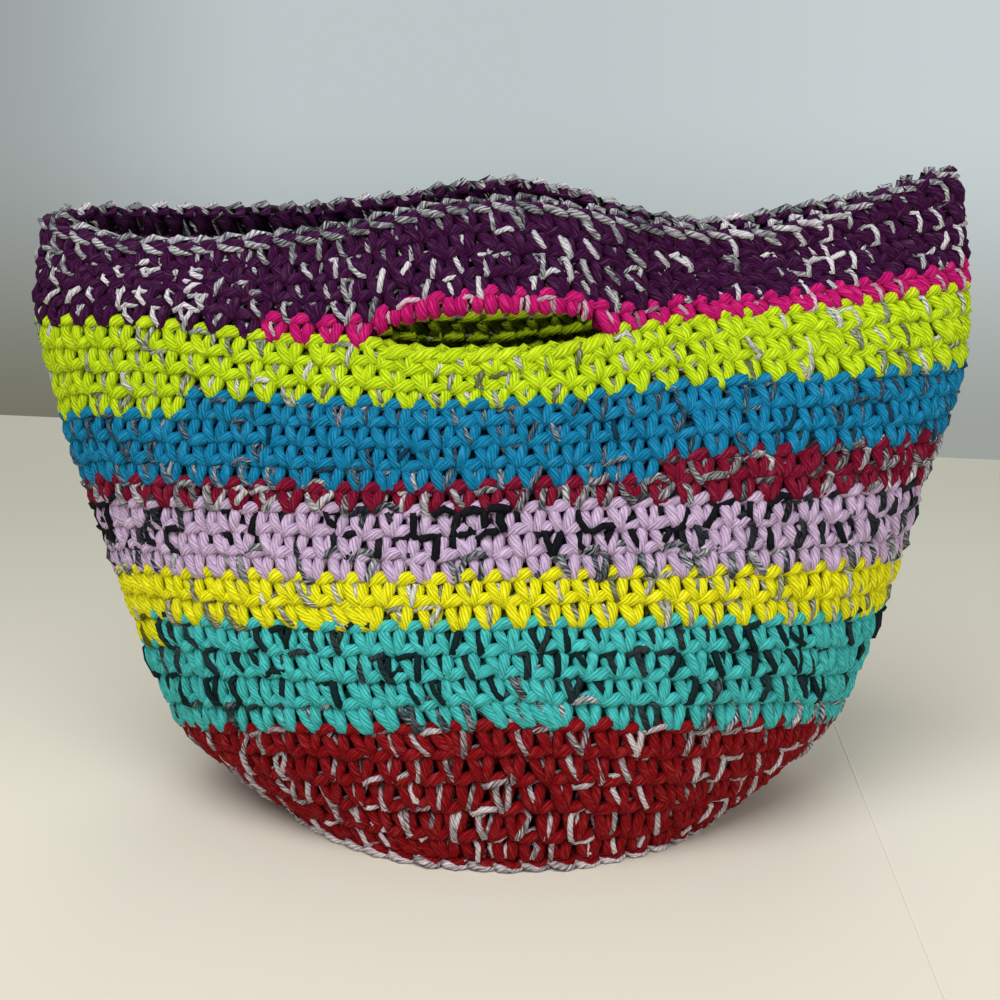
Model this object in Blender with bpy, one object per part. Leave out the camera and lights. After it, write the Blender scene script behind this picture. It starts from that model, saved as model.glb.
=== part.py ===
"""A crocheted tote bag: one spiral of single crochet, striped in nine colours.

The bag stands on its flat base with the front towards -Y. Every stripe is worked
from a length of yarn of its own, so every stripe is an object of its own.
"""
import bmesh
import bpy
import numpy as np

MM = 0.001

# The half widths (left to right) and half depths (front to back) are those of the
# outside of the wall, and the heights are above the floor.
BASE_HALF_WIDTH = 86.0 * MM
BASE_HALF_DEPTH = 75.5 * MM
BOWL_HALF_WIDTH = 126.0 * MM
BOWL_HALF_DEPTH = 81.0 * MM
BOWL_SIDE_HEIGHT = 27.0 * MM
BOWL_FRONT_HEIGHT = 56.0 * MM
LOWER_HALF_WIDTH = 144.5 * MM
LOWER_HALF_DEPTH = 73.3 * MM
LOWER_SIDE_HEIGHT = 76.2 * MM
LOWER_FRONT_HEIGHT = 93.7 * MM
MIDDLE_HALF_WIDTH = 153.8 * MM
MIDDLE_HALF_DEPTH = 60.5 * MM
MIDDLE_SIDE_HEIGHT = 116.5 * MM
MIDDLE_FRONT_HEIGHT = 127.0 * MM
UPPER_HALF_WIDTH = 162.1 * MM
UPPER_HALF_DEPTH = 50.5 * MM
UPPER_SIDE_HEIGHT = 153.0 * MM
UPPER_FRONT_HEIGHT = 158.1 * MM
GRIP_HALF_WIDTH = 166.0 * MM
GRIP_HALF_DEPTH = 42.0 * MM
GRIP_SIDE_HEIGHT = 185.5 * MM
GRIP_FRONT_HEIGHT = 181.0 * MM
RIM_HALF_WIDTH = 161.0 * MM
RIM_HALF_DEPTH = 26.0 * MM
RIM_SIDE_HEIGHT = 221.5 * MM
RIM_FRONT_HEIGHT = 212.0 * MM

# Levels up the wall, counted in rows of stitches from the edge of the base
BOWL_ROW = 5.0
LOWER_ROW = 9.5
MIDDLE_ROW = 14.0
UPPER_ROW = 18.5
GRIP_ROW = 22.0
RIM_ROW = 27.0
LAST_ROW = 27

WALL = 5.6 * MM                # thickness of the crochet
STITCH_BULGE = 2.6 * MM        # how far a stitch stands out between its neighbours
STRIPE_GAP = 0.3 * MM          # clear space between two stripes
STITCH_COUNT = 58              # stitches modelled in one round
BRICK_SHIFT = 0.5              # stitches that a row moves over on the one below

RIGHT_RISE = 8.0 * MM          # how much higher the right end of the rim stands
LIPS_FROM = 18.0 * MM          # right of here the two lips of the mouth draw together
LIPS_TO = 72.0 * MM
LIPS_HALF_GAP = 0.5 * MM       # half the slit that is left between them
LIPS_FIRST_ROW = 15.0
LIPS_ROUNDING = 0.35           # power that rounds the end of the closed lips

SLOT_CENTRE = -6.5 * MM
SLOT_HALF_LENGTH = 39.0 * MM
SLOT_LIFT = 8.5 * MM           # rise of the upper edge in the middle of the slot
SLOT_SAG = 4.5 * MM            # drop of the lower edge
SLOT_SAG_ROWS = 5.0            # rows below the slot that the drop reaches
HUMP_HALF_LENGTH = 76.0 * MM   # the rim stands up over the slot along this length
HUMP_HEIGHT = 11.0 * MM
SLOT_FRONT_LEVEL = GRIP_ROW + 0.25
SLOT_BACK_LEVEL = GRIP_ROW - 0.25

# How the rim and the rows depart from even curves, as heights added to them
RIM_DIP = 7.8 * MM             # the rim dips between the hump and the right end
RIM_DIP_ROW = 20.0
DIP_FRONT_CENTRE = 90.0 * MM
DIP_FRONT_HALF = 75.0 * MM
DIP_BACK_CENTRE = 80.0 * MM
DIP_BACK_HALF = 90.0 * MM
LEFT_CENTRE = -125.0 * MM
LEFT_HALF = 62.0 * MM
LEFT_DROP = 5.5 * MM           # the front rim drops on the left
LEFT_SWELL = 4.5 * MM          # and the rows under it swell up
BACK_RISE = 4.5 * MM           # the back rim rises on the left
BACK_RISE_FROM = 30.0 * MM
BACK_RISE_TO = 70.0 * MM
BOW_HEIGHT = 5.0 * MM          # the middle rows bow up towards the left
BOW_CENTRE = -130.0 * MM
BOW_HALF = 112.0 * MM
BOWL_BOW_HEIGHT = 4.5 * MM     # the rows round the bowl bow up towards both ends
BOWL_BOW_CENTRE = 105.0 * MM
BOWL_BOW_HALF = 68.0 * MM
END_FADE = 0.4                 # none of this reaches the very ends
MOUTH_POWER = 0.6              # the mouth is blunter than an ellipse at its left end
MOUTH_FROM = 20.0 * MM
MOUTH_TO = 110.0 * MM

# A stripe starts after so many rounds; the part after the point is how far round the
# bag it starts, from the right end over the front.
STRIPES = [
    ("red_base", 0.0, (0.36, 0.003, 0.012)),
    ("turquoise_band", 4.80, (0.04, 0.50, 0.47)),
    ("yellow_band", 8.45, (0.90, 0.82, 0.01)),
    ("lavender_band", 10.75, (0.58, 0.38, 0.72)),
    ("crimson_band", 13.70, (0.37, 0.004, 0.045)),
    ("blue_band", 15.19, (0.01, 0.26, 0.58)),
    ("lime_band", 18.37, (0.55, 0.92, 0.004)),
    ("pink_band", 21.60, (0.62, 0.01, 0.19)),
    ("purple_band", 22.34, (0.06, 0.008, 0.10)),
]
UPPER_STRIPES = ("pink_band", "purple_band")      # these lie above the slots
YARN_ROUGHNESS = 0.85

ROUND_SAMPLES = 361
LEVEL_STEP = 0.25


def clear_scene():
    for obj in list(bpy.data.objects):
        bpy.data.objects.remove(obj, do_unlink=True)


def smooth_curve(x, xs, ys):
    """Smooth curve through the points that never swings past them."""
    xs, ys = np.asarray(xs, float), np.asarray(ys, float)
    steps = np.diff(xs)
    slopes = np.diff(ys) / steps
    tangents = np.zeros(len(xs))
    tangents[0], tangents[-1] = slopes[0], slopes[-1]
    for i in range(1, len(xs) - 1):
        if slopes[i - 1] * slopes[i] > 0:
            tangents[i] = 2 * slopes[i - 1] * slopes[i] / (slopes[i - 1] + slopes[i])
    i = np.clip(np.searchsorted(xs, x, side="right") - 1, 0, len(steps) - 1)
    t = (x - xs[i]) / steps[i]
    start = ys[i] * (1 + 2 * t) * (1 - t) ** 2 + tangents[i] * steps[i] * t * (1 - t) ** 2
    end = ys[i + 1] * t * t * (3 - 2 * t) + tangents[i + 1] * steps[i] * t * t * (t - 1)
    return start + end


def ease(x, low, high):
    t = np.clip((x - low) / (high - low), 0.0, 1.0)
    return t * t * (3 - 2 * t)


def profile(level):
    """Half width, half depth, height at the two ends and height at front and back."""
    rows = (0.0, BOWL_ROW, LOWER_ROW, MIDDLE_ROW, UPPER_ROW, GRIP_ROW, RIM_ROW)
    beyond = np.maximum(level - RIM_ROW, 0.0)
    level = np.minimum(level, RIM_ROW)
    widths = (BASE_HALF_WIDTH, BOWL_HALF_WIDTH, LOWER_HALF_WIDTH, MIDDLE_HALF_WIDTH,
              UPPER_HALF_WIDTH, GRIP_HALF_WIDTH, RIM_HALF_WIDTH)
    depths = (BASE_HALF_DEPTH, BOWL_HALF_DEPTH, LOWER_HALF_DEPTH, MIDDLE_HALF_DEPTH,
              UPPER_HALF_DEPTH, GRIP_HALF_DEPTH, RIM_HALF_DEPTH)
    sides = (0.0, BOWL_SIDE_HEIGHT, LOWER_SIDE_HEIGHT, MIDDLE_SIDE_HEIGHT,
             UPPER_SIDE_HEIGHT, GRIP_SIDE_HEIGHT, RIM_SIDE_HEIGHT)
    fronts = (0.0, BOWL_FRONT_HEIGHT, LOWER_FRONT_HEIGHT, MIDDLE_FRONT_HEIGHT,
              UPPER_FRONT_HEIGHT, GRIP_FRONT_HEIGHT, RIM_FRONT_HEIGHT)
    last_row = (RIM_SIDE_HEIGHT - GRIP_SIDE_HEIGHT) / (RIM_ROW - GRIP_ROW)
    side = smooth_curve(level, rows, sides) + beyond * last_row
    front = smooth_curve(level, rows, fronts) + beyond * last_row
    return smooth_curve(level, rows, widths), smooth_curve(level, rows, depths), side, front


def angle_table():
    """Angle round the bag for even steps along the wall, one line for each level."""
    angles = np.linspace(0.0, 2 * np.pi, ROUND_SAMPLES)
    levels = np.arange(0.0, LAST_ROW + 1 + LEVEL_STEP, LEVEL_STEP)
    shares = np.linspace(0.0, 1.0, ROUND_SAMPLES)
    lines = []
    for level in levels:
        width, depth, _, _ = profile(np.array(level))
        steps = np.hypot(np.diff(width * np.cos(angles)), np.diff(depth * np.sin(angles)))
        length = np.concatenate(([0.0], np.cumsum(steps)))
        lines.append(np.interp(shares, length / length[-1], angles))
    return np.array(lines)


def angle_at(table, share, level):
    row = min(int(level / LEVEL_STEP), len(table) - 2)
    mix = level / LEVEL_STEP - row
    column = share * (ROUND_SAMPLES - 1)
    left = min(int(column), ROUND_SAMPLES - 2)
    part = column - left
    lower = table[row, left] * (1 - part) + table[row, left + 1] * part
    upper = table[row + 1, left] * (1 - part) + table[row + 1, left + 1] * part
    return lower * (1 - mix) + upper * mix


def bump(x, centre, half):
    """Rises from 0 to 1 at the centre and falls to 0 again."""
    return np.cos(np.clip((x - centre) / half, -1, 1) * np.pi / 2) ** 2


def row_move(x, level, swing):
    """Height added where the rim and the rows depart from even curves."""
    near_rim = ease(level, RIM_DIP_ROW, RIM_ROW)
    move = BOW_HEIGHT * bump(x, BOW_CENTRE, BOW_HALF)
    move *= ease(level, BOWL_ROW, LOWER_ROW) * (1 - ease(level, UPPER_ROW - 1, GRIP_ROW))
    bowl = ease(level, 1.5, BOWL_ROW) * (1 - ease(level, BOWL_ROW + 1.5, LOWER_ROW))
    move += BOWL_BOW_HEIGHT * bump(abs(x), BOWL_BOW_CENTRE, BOWL_BOW_HALF) * bowl
    if swing > 0:
        left = bump(x, LEFT_CENTRE, LEFT_HALF)
        move += left * LEFT_SWELL * ease(level, UPPER_ROW - 1.5, GRIP_ROW) * (1 - ease(level, 23.0, 26.5))
        move -= left * LEFT_DROP * ease(level, 24.0, RIM_ROW + 0.3)
        dip = bump(x, DIP_FRONT_CENTRE, DIP_FRONT_HALF)
    else:
        move += BACK_RISE * ease(-x, BACK_RISE_FROM, BACK_RISE_TO) * ease(level, UPPER_ROW, RIM_ROW)
        dip = bump(x, DIP_BACK_CENTRE, DIP_BACK_HALF)
    return move * ease(abs(swing), 0.0, END_FADE) - RIM_DIP * dip * near_rim


def slot_move(x, level, at_front, above):
    """Height added near a slot: up over it, down under it."""
    slot_level = SLOT_FRONT_LEVEL if at_front else SLOT_BACK_LEVEL
    away = (x - SLOT_CENTRE) / SLOT_HALF_LENGTH
    arch = np.sqrt(max(0.0, 1 - away * away))
    if not above:
        return -SLOT_SAG * arch * ease(level, slot_level - SLOT_SAG_ROWS, slot_level)
    near_rim = ease(level, slot_level, RIM_ROW)
    hump = bump(x, SLOT_CENTRE, HUMP_HALF_LENGTH)
    return SLOT_LIFT * arch * (1 - near_rim) + HUMP_HEIGHT * hump * near_rim


def wall_point(table, share, level, inward, above):
    """A point of the wall, inward from its outer face."""
    angle = angle_at(table, share, level)
    width, depth, side, front = profile(np.array(level))
    width_up, depth_up, side_up, front_up = profile(np.array(level + 0.5))
    width_down, depth_down, side_down, front_down = profile(np.array(max(level - 0.5, 0.0)))
    frontal = np.sin(angle) ** 2
    run = (width_up - width_down) * (1 - frontal) + (depth_up - depth_down) * frontal
    rise = (side_up - side_down) * (1 - frontal) + (front_up - front_down) * frontal
    slope = np.hypot(run, rise)
    out, up = rise / slope, -run / slope
    x = (width - inward * out) * np.cos(angle)
    swing = np.sin(angle)
    blunt = ease(-x, MOUTH_FROM, MOUTH_TO) * ease(level, UPPER_ROW, RIM_ROW)
    open_half = (depth - inward * out) * abs(swing) ** (1 - (1 - MOUTH_POWER) * blunt)
    closed_half = (WALL + LIPS_HALF_GAP - inward) * abs(swing) ** LIPS_ROUNDING
    drawn = ease(x, LIPS_FROM, LIPS_TO) * ease(level, LIPS_FIRST_ROW, RIM_ROW)
    y = -np.sign(swing) * (open_half * (1 - drawn) + closed_half * drawn)
    tilt = RIGHT_RISE * np.cos(angle) * min(level / GRIP_ROW, 1.0)
    z = side + (front - side) * frontal + tilt - inward * up
    z += slot_move(x, level, swing > 0, above) + row_move(x, level, swing)
    return np.array((x, y, z))


def turn_of(number):
    return number / (STITCH_COUNT + BRICK_SHIFT)


def corner(table, number, inward, above):
    """Corner of the net of stitches; its first round lies on the floor."""
    turn = turn_of(number)
    if number >= STITCH_COUNT:
        return wall_point(table, turn % 1.0, turn, inward, above)
    point = wall_point(table, turn % 1.0, 0.0, inward, above)
    point[2] = WALL if inward == WALL else 0.0
    return point


def around(number):
    """Corners of one stitch, in order: lower right, lower left, upper left, upper right."""
    return (number, number + 1, number + STITCH_COUNT + 1, number + STITCH_COUNT)


def stripe_corner(table, number, inward, above, cells):
    """Corner of a stripe, drawn in from its edge by half the gap between stripes."""
    own = corner(table, number, inward, above)
    touching = (number, number - 1, number - STITCH_COUNT, number - STITCH_COUNT - 1)
    inside = [cell for cell in touching if cell in cells]
    if len(inside) == len(touching):
        return own
    middles = [np.mean([corner(table, n, inward, above) for n in around(cell)], axis=0) for cell in inside]
    pull = np.mean(middles, axis=0) - own
    if number < STITCH_COUNT or np.linalg.norm(pull) < STRIPE_GAP:
        return own
    return own + pull / np.linalg.norm(pull) * STRIPE_GAP * 0.62


def stitch_top(table, number, above):
    """Top of the bulge of a stitch, level with the outside of the wall."""
    return np.mean([corner(table, n, 0.0, above) for n in around(number)], axis=0)


def stripe_mesh(table, name, first, last):
    above = name in UPPER_STRIPES
    cells = set(range(first, last))
    mesh = bmesh.new()
    numbers = sorted({n for cell in cells for n in around(cell)})
    outer = {n: mesh.verts.new(stripe_corner(table, n, STITCH_BULGE, above, cells)) for n in numbers}
    inner = {n: mesh.verts.new(stripe_corner(table, n, WALL, above, cells)) for n in numbers}
    for cell in cells:
        ring = around(cell)
        neighbours = (cell - STITCH_COUNT, cell + 1, cell + STITCH_COUNT, cell - 1)
        top = mesh.verts.new(stitch_top(table, cell, above))
        for side in range(4):
            start, end = ring[side], ring[(side + 1) % 4]
            mesh.faces.new((outer[end], outer[start], top))
            at_base = cell < STITCH_COUNT and neighbours[side] < 0
            if neighbours[side] not in cells and not at_base:
                mesh.faces.new((outer[start], outer[end], inner[end], inner[start]))
        mesh.faces.new([inner[n] for n in ring])
    if first == 0:
        close_base(mesh, outer, inner)
    return mesh


def close_base(mesh, outer, inner):
    """Flat disc under the bag, inside the first round of corners."""
    for ring, height, order in ((outer, 0.0, 1), (inner, WALL, -1)):
        centre = mesh.verts.new((0.0, 0.0, height))
        for n in range(STITCH_COUNT):
            following = (n + 1) % STITCH_COUNT
            mesh.faces.new((ring[n], ring[following], centre)[::order])
        mesh.faces.new((ring[STITCH_COUNT - 1], ring[STITCH_COUNT], ring[0])[::order])


def yarn_material(name, colour):
    material = bpy.data.materials.new(name)
    material.use_nodes = True
    shader = material.node_tree.nodes["Principled BSDF"]
    shader.inputs["Base Color"].default_value = (*colour, 1.0)
    shader.inputs["Roughness"].default_value = YARN_ROUGHNESS
    shader.inputs["Metallic"].default_value = 0.0
    return material


def make_stripe(collection, table, name, first, last, colour):
    work = stripe_mesh(table, name, first, last)
    bmesh.ops.triangulate(work, faces=work.faces[:])
    bmesh.ops.recalc_face_normals(work, faces=work.faces[:])
    data = bpy.data.meshes.new(name)
    work.to_mesh(data)
    work.free()
    data.shade_smooth()
    stripe = bpy.data.objects.new(name, data)
    data.materials.append(yarn_material(name + "_yarn", colour))
    collection.objects.link(stripe)


def main():
    clear_scene()
    collection = bpy.data.collections.new("crochet_tote_bag")
    bpy.context.scene.collection.children.link(collection)
    table = angle_table()
    round_length = STITCH_COUNT + BRICK_SHIFT
    starts = [round(turns * round_length) for _, turns, _ in STRIPES] + [round(LAST_ROW * round_length)]
    for index, (name, _, colour) in enumerate(STRIPES):
        make_stripe(collection, table, name, starts[index], starts[index + 1], colour)


main()
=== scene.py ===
# Crochet tote bag: every stitch of the bag as real yarn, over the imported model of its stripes.
import math
import bpy
import numpy as np
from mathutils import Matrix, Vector


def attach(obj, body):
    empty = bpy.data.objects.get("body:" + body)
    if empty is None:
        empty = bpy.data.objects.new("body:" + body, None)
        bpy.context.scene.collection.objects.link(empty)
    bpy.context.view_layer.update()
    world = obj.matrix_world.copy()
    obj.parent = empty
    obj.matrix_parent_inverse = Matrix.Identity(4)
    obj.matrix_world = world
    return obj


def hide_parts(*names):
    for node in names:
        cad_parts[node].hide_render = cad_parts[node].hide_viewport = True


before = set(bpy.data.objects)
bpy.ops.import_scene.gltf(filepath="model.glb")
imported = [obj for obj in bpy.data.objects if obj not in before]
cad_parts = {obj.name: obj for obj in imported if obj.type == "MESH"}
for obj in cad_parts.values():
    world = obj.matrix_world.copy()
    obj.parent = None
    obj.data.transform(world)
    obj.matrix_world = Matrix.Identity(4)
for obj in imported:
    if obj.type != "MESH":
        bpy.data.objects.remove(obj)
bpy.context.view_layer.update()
mm = 0.001
scene = bpy.context.scene
scene.view_settings.view_transform = "Standard"

# The form of the bag, in mm: half widths, half depths and heights at seven levels up the wall.
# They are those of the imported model's stripes, but the lower rows are up to 4 mm narrower,
# because the strands stand out further there than the solids do.
bagForm = {
    "rows": (0.0, 5.0, 9.5, 14.0, 18.5, 22.0, 27.0),
    "halfWidth": (85.0, 122.5, 140.5, 151.5, 162.5, 165.5, 160.5),
    "halfDepth": (75.5, 81.0, 73.3, 60.5, 50.5, 42.0, 26.0),
    "sideHeight": (0.0, 27.0, 76.2, 116.5, 153.0, 185.5, 221.5),
    "frontHeight": (0.0, 56.0, 93.7, 127.0, 158.1, 181.0, 212.0),
    "baseRounds": 9.0,          # rounds of stitches in the flat base
    "wall": 5.6,                # thickness of the crochet
    "rightRise": 8.0,           # how much higher the right end of the rim stands
    "lipsFrom": 18.0,           # right of here the lips of the mouth are drawn together
    "lipsTo": 72.0,
    "lipsHalfGap": 0.5,
    "lipsFirstRow": 15.0,
    "lipsRounding": 0.35,
    "lipsSqueeze": 0.85,        # the two walls press each other a little flatter there
    "mouthPower": 0.6,          # the mouth is blunter than an ellipse at its left end
    "mouthFrom": 20.0,
    "mouthTo": 110.0,
    "mouthRows": (18.5, 27.0),
}

# How the rim and the rows depart from even curves, in mm. A place is a middle and a half length.
# Two rows say where a bend comes in, and four also where it goes out again.
rowBends = {
    "rimDip": 7.8,              # the rim sags right of the hand slots
    "dipRows": (20.0, 27.0),
    "dipFront": (90.0, 75.0),
    "dipBack": (80.0, 90.0),
    "left": (-125.0, 62.0),     # at the left of the front the rim drops and the rows under it swell
    "leftDrop": 5.5,
    "leftDropRows": (24.0, 27.3),
    "leftSwell": 4.5,
    "leftSwellRows": (17.0, 22.0, 23.0, 26.5),
    "backRise": 3.5,            # at the left of the back the rim stands higher
    "backRiseSpan": (30.0, 70.0),
    "backRiseRows": (18.5, 27.0),
    "bow": 5.0,                 # the middle rows rise towards the left
    "bowAt": (-130.0, 112.0),
    "bowRows": (5.0, 9.5, 17.5, 22.0),
    "bowlBow": 4.5,             # and the lower rows towards both ends
    "bowlBowAt": (105.0, 68.0),
    "bowlBowRows": (1.5, 5.0, 6.5, 9.5),
    "endFade": 0.4,
    "endShift": 3.6,            # both ends of the top rows lie so much further left
    "endShiftFrom": (60.0, 150.0),
    "endShiftRows": (19.0, 23.0),
    "backSink": 3.0,            # the rim is lower at the back
    "backSinkFade": 0.3,
    "backSinkRows": (22.0, 27.0),
    "right": (90.0, 150.0),     # and its right end is drawn together at one height
    "rightFront": 4.0,
    "rightBack": -2.0,
    "rightFade": 0.12,
    "rightRows": (23.5, 27.0),
}

# The hand slots, in mm and rows: the wall rises over them and sags under them
handSlot = {
    "firstTurnAbove": 21.60,    # the stitches from this turn on are worked over the slots
    "centre": -6.5,
    "halfLength": 39.0,
    "lift": 8.5,
    "sag": 4.5,
    "sagRows": 5.0,
    "frontLevel": 22.25,
    "backLevel": 21.75,
    "edgeRows": 0.25,           # stitches so near the edge of a slot are worked round it
    "humpHalfLength": 76.0,
    "humpHeight": 11.0,
}

# How the yarn runs: one stitch after the other in a spiral that climbs one row a round
crochet = {
    "startTurn": -9.0,          # middle of the base
    "firstStitch": 0.02,
    "ringStitches": 3.0,        # in the first round
    "leanAfter": 1.3,           # rounds after which stitches lean to the hole below
    "ridgeTurn": -0.30,         # from here one round is worked in the back loops only
    "lastTurn": 27.0,
    "lastStitches": 6.0,        # the last ones get shorter, so that the rim ends level
    "lastHeight": 0.35,
    "insideTurn": 24.6,         # from here the thin strand shows on the inside, which is seen
    "baseGain": 6.0,            # stitches gained in each round of the base
    "gainApart": 9,             # fewest stitches between two gains in the wall
    "countTurns": (0.0, 2.0, 5.0, 9.0, 13.5, 28.0),
    "counts": (54.0, 59.5, 66.5, 71.5, 75.5, 75.5),
    "holeBack": 0.28,           # the stitch above goes in so far behind the one below
    "settle": 0.22,             # how fast stitches close up again where two share a hole
    "mostLean": 0.55,
    "middle": 3.9,              # the middle of the fabric, inward from the outer face
    "baseFlat": 0.42,           # the stitches of the base are so much flatter
    "baseFlatLevels": (-0.8, 0.6),
    "solidRadius": 1.96,
    "solidSides": 6,
    "solidShift": -0.35,        # the two strands lie to either side of the line of the stitch
    "thinSides": 4,
    "thinShift": 2.05,
    "sideways": 0.15,           # they face a little sideways, for where the line runs outward
    "thinTaper": (0.92, 0.22),  # the thin strand is thinner on the hidden side
    "jitter": (0.042, 0.042, 0.32, 0.05),   # of left, up, out and plump
    "jitterKnots": 4,           # in each stitch
    "strayKnots": 5,
    "lowest": 0.4,              # nothing lies lower than this, in mm
    "seed": 11,
}

# One stitch: how far left (in stitches), how far up (in rows), how far out (in mm), how plump
# the yarn is there, and how deep it lies between its neighbours (0 open to view, 1 hidden), which is how
# much painted shade darkens it there.
# It comes out of the hole, up the right leg, over the neck, down the left leg and in, up the
# back, out through the neck, along the row in front to the next neck and back behind it.
stitchLine = (
    (-0.20, -0.16, -1.2, 0.74, 0.95),
    (-0.21, -0.26, 1.1, 0.84, 0.50),
    (-0.22, -0.07, 2.7, 1.00, 0.05),
    (-0.22, 0.25, 2.9, 1.10, 0.00),
    (-0.24, 0.54, 2.2, 1.12, 0.10),
    (-0.20, 0.80, 0.4, 0.94, 0.65),
    (0.02, 0.90, -1.4, 0.80, 0.95),
    (0.23, 0.80, 0.4, 0.94, 0.65),
    (0.26, 0.54, 2.2, 1.12, 0.10),
    (0.13, 0.25, 2.9, 1.10, 0.00),
    (-0.03, -0.07, 2.7, 1.00, 0.05),
    (-0.09, -0.26, 1.1, 0.84, 0.50),
    (-0.11, -0.16, -1.2, 0.74, 0.95),
    (0.20, 0.10, -1.7, 1.25, 0.65),
    (0.08, 0.50, -1.9, 1.25, 0.60),
    (-0.16, 0.93, 0.2, 0.86, 0.80),
    (-0.05, 0.98, 2.2, 1.06, 0.15),
    (0.20, 0.90, 2.8, 1.18, 0.00),
    (0.48, 0.79, 2.0, 1.04, 0.20),
    (1.04, 0.85, -0.3, 0.82, 0.80),
    (0.86, 0.86, -2.5, 1.34, 0.05),
    (0.26, 0.76, -3.0, 1.38, 0.05),
)
holePull = (1.0, 1.0, 0.85, 0.5, 0.2, 0.0, 0.0, 0.0, 0.2, 0.5, 0.85, 1.0, 1.0, 0.5)

# the round above the ridge is worked into the back loops only: its points in the hole move
backLoops = {"points": (1, 2, 10, 11), "inward": 2.0, "up": 0.12}

# Where a stitch differs from the others, the points that change.
# Round the rim and under a hand slot the loops at the top lie open and plump, like a braid.
openLoops = {
    15: (-0.20, 0.82, 0.5, 0.92, 0.35),
    16: (-0.05, 0.90, 2.2, 1.10, 0.05),
    17: (0.26, 0.84, 2.8, 1.20, 0.00),
    18: (0.60, 0.75, 2.0, 1.10, 0.05),
    19: (1.02, 0.80, 0.2, 0.95, 0.35),
    20: (0.78, 1.02, -1.7, 1.24, 0.00),
    21: (0.26, 0.98, -2.7, 1.26, 0.05),
}

slotLoops = {
    15: (-0.20, 0.60, 0.5, 0.95, 0.35),
    16: (-0.06, 0.74, 2.8, 1.22, 0.05),
    17: (0.28, 0.62, 3.6, 1.40, 0.00),
    18: (0.66, 0.43, 3.0, 1.22, 0.00),
    19: (1.02, 0.72, 0.6, 1.00, 0.30),
    20: (0.72, 1.00, -0.9, 1.30, 0.00),
    21: (0.22, 0.92, -1.4, 1.30, 0.05),
}

# Over a hand slot the stitches are worked round the edge, so their legs wrap it side by side.
wrapLegs = {
    0: (-0.24, 0.60, -2.6, 0.90, 0.40),
    1: (-0.25, 0.27, -1.2, 0.92, 0.20),
    2: (-0.25, 0.23, 1.5, 1.10, 0.10),
    3: (-0.25, 0.44, 2.9, 1.22, 0.00),
    4: (-0.25, 0.68, 2.5, 1.20, 0.10),
    5: (-0.20, 0.88, 0.6, 0.94, 0.60),
    7: (0.22, 0.88, 0.6, 0.94, 0.60),
    8: (0.25, 0.68, 2.5, 1.20, 0.10),
    9: (0.25, 0.44, 2.9, 1.22, 0.00),
    10: (0.25, 0.23, 1.5, 1.10, 0.10),
    11: (0.25, 0.27, -1.2, 0.92, 0.20),
    12: (0.24, 0.60, -2.6, 0.90, 0.40),
    13: (0.12, 0.72, -2.6, 0.95, 0.40),
}

# Round the foot of the wall the front loops are left out of the next round and form a ridge.
ridgeLoops = {
    15: (-0.14, 0.68, 0.0, 0.84, 0.50),
    16: (0.02, 0.68, 2.4, 1.02, 0.00),
    17: (0.38, 0.80, 3.4, 1.12, 0.00),
    18: (0.76, 0.94, 2.5, 1.00, 0.05),
    19: (1.04, 0.98, 0.0, 0.82, 0.60),
}

# Which way the thin strand lies beside the solid one on the loops that lie open, as shares
# outward and upward, and how plump it is there
rimStrand = {
    15: (0.3, -0.9, 1.0),
    16: (0.8, -0.6, 1.15),
    17: (1.0, -0.1, 1.40),
    18: (0.8, 0.6, 1.40),
    19: (0.3, 0.9, 1.1),
    20: (0.2, 1.0, 1.65),
    21: (-0.2, 1.0, 1.65),
}
insideStrand = {
    20: (-1.0, 0.3, 1.35),
    21: (-1.0, 0.3, 1.35),
}
slotStrand = {
    15: (-0.7, -0.7, 0.7),
    16: (-0.7, -0.7, 0.7),
    17: (-0.7, -0.7, 0.7),
    18: (-0.7, -0.7, 0.7),
    19: (0.0, -1.0, 0.7),
    20: (0.3, -1.0, 0.7),
    21: (0.3, -1.0, 0.7),
}
ridgeStrand = {
    15: (0.6, 0.3, 0.8),
    16: (1.0, 0.1, 1.45),
    17: (1.0, 0.0, 1.95),
    18: (1.0, -0.1, 1.70),
    19: (0.6, -0.3, 0.8),
}
# elsewhere it strays about the hidden side of the solid strand: 180 is inward, 0 outward and
# 270 inside the V of the legs or under the loop
hiddenSide = (
    230, 248, 264, 256, 244, 230, 180, 230, 244, 256, 264, 248, 230,
    20, 20, 90, 215, 222, 218, 90, 20, 20,
)
print("frame and measures ready")


# Geometry of the wall

def smoothCurve(x, xs, ys):
    xs = np.asarray(xs, float)
    ys = np.asarray(ys, float)
    steps = np.diff(xs)
    slopes = np.diff(ys) / steps
    tangents = np.zeros(len(xs))
    tangents[0] = slopes[0]
    tangents[-1] = slopes[-1]
    for i in range(1, len(xs) - 1):
        if slopes[i - 1] * slopes[i] > 0:
            tangents[i] = 2 * slopes[i - 1] * slopes[i] / (slopes[i - 1] + slopes[i])
    i = np.clip(np.searchsorted(xs, x, side="right") - 1, 0, len(steps) - 1)
    t = (x - xs[i]) / steps[i]
    start = ys[i] * (1 + 2 * t) * (1 - t) ** 2 + tangents[i] * steps[i] * t * (1 - t) ** 2
    end = ys[i + 1] * t * t * (3 - 2 * t) + tangents[i + 1] * steps[i] * t * t * (t - 1)
    return start + end


def ease(x, low, high):
    t = np.clip((x - low) / (high - low), 0.0, 1.0)
    return t * t * (3 - 2 * t)


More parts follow.
